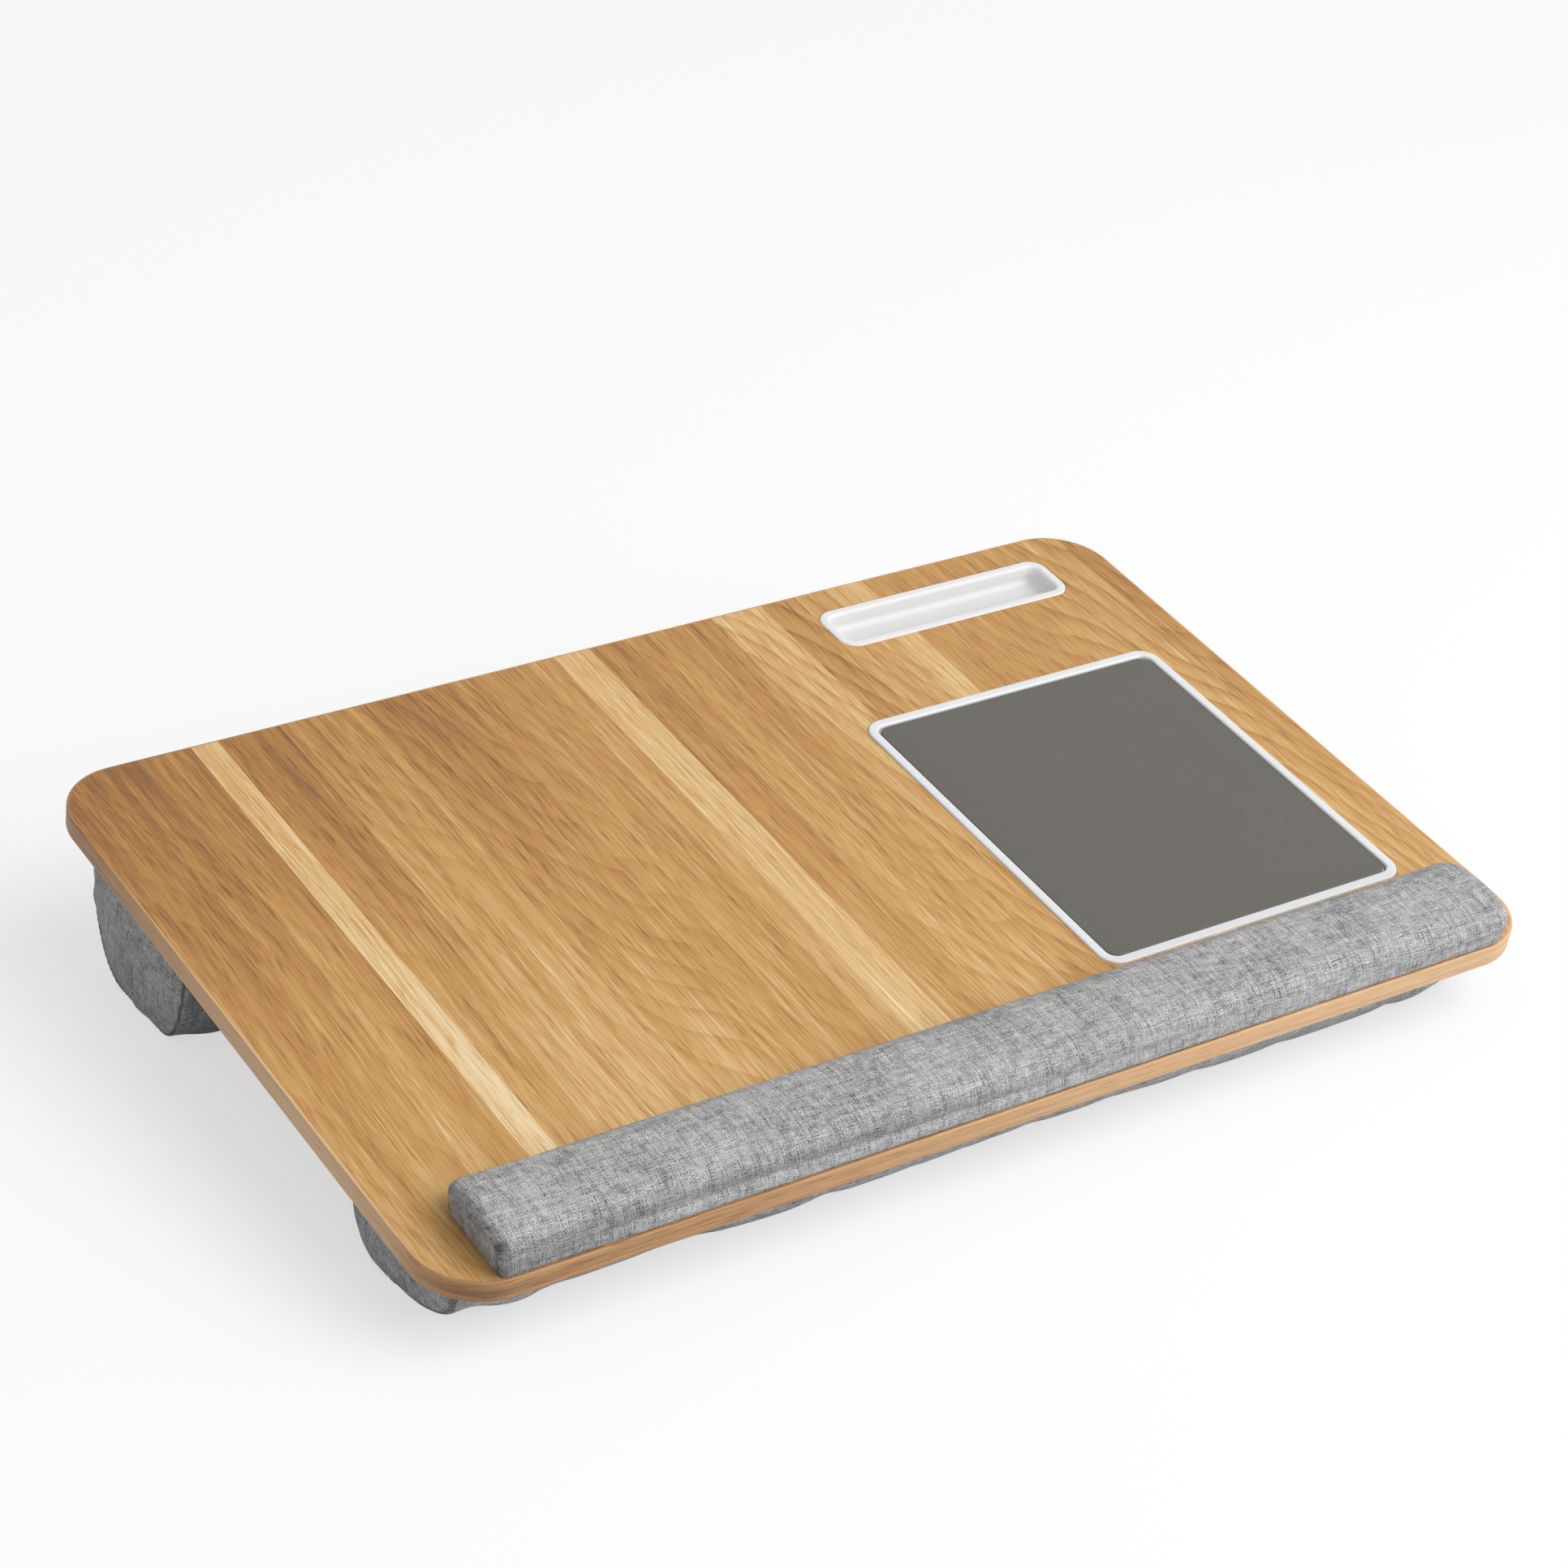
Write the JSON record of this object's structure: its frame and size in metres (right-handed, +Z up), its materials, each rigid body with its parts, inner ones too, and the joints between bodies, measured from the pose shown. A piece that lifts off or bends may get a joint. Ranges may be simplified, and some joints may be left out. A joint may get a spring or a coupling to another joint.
{
  "type": "laptop tray",
  "caption": "Cushioned lap tray: oak-look board on sewn bolsters, with a padded wrist rest, a framed mouse pad and a phone trough let into the top.",
  "frame": {"origin": "middle of the footprint, on the surface that the bolsters stand on", "axes": "+X along the width to the mouse-pad side, +Y from the wrist rest to the phone trough, +Z up"},
  "size_m": [0.556, 0.352, 0.0838],
  "materials": {
    "oak_laminate": "satin oak-look laminate",
    "oak_edge": "satin oak-look edge strip",
    "fibreboard": "raw fibreboard",
    "backing_sheet": "matt balancing sheet",
    "white_plastic": "satin moulded plastic",
    "pad_leather": "fine-grained synthetic leather",
    "foam": "open-cell foam",
    "grey_weave": "plain melange weave",
    "tape": "double-sided foam tape"
  },
  "bodies": {
    "root": {"core_board": "fibreboard", "top_laminate": "oak_laminate", "bottom_laminate": "backing_sheet", "edge_band": "oak_edge", "mouse_pad_frame": "white_plastic", "mouse_pad_leather": "pad_leather", "mouse_pad_backing": "foam", "phone_insert": "white_plastic", "wrist_rest_cover": "grey_weave", "wrist_rest_foam": "foam", "wrist_rest_base": "fibreboard", "wrist_rest_tape_front": "tape", "wrist_rest_tape_rear": "tape", "front_bolster_cover": "grey_weave", "front_bolster_end_left": "grey_weave", "front_bolster_end_right": "grey_weave", "front_bolster_foam": "foam", "front_bolster_base": "fibreboard", "front_bolster_tape_front": "tape", "front_bolster_tape_rear": "tape", "rear_bolster_cover": "grey_weave", "rear_bolster_end_left": "grey_weave", "rear_bolster_end_right": "grey_weave", "rear_bolster_foam": "foam", "rear_bolster_base": "fibreboard", "rear_bolster_tape_front": "tape", "rear_bolster_tape_rear": "tape"}
  },
  "joints": []
}
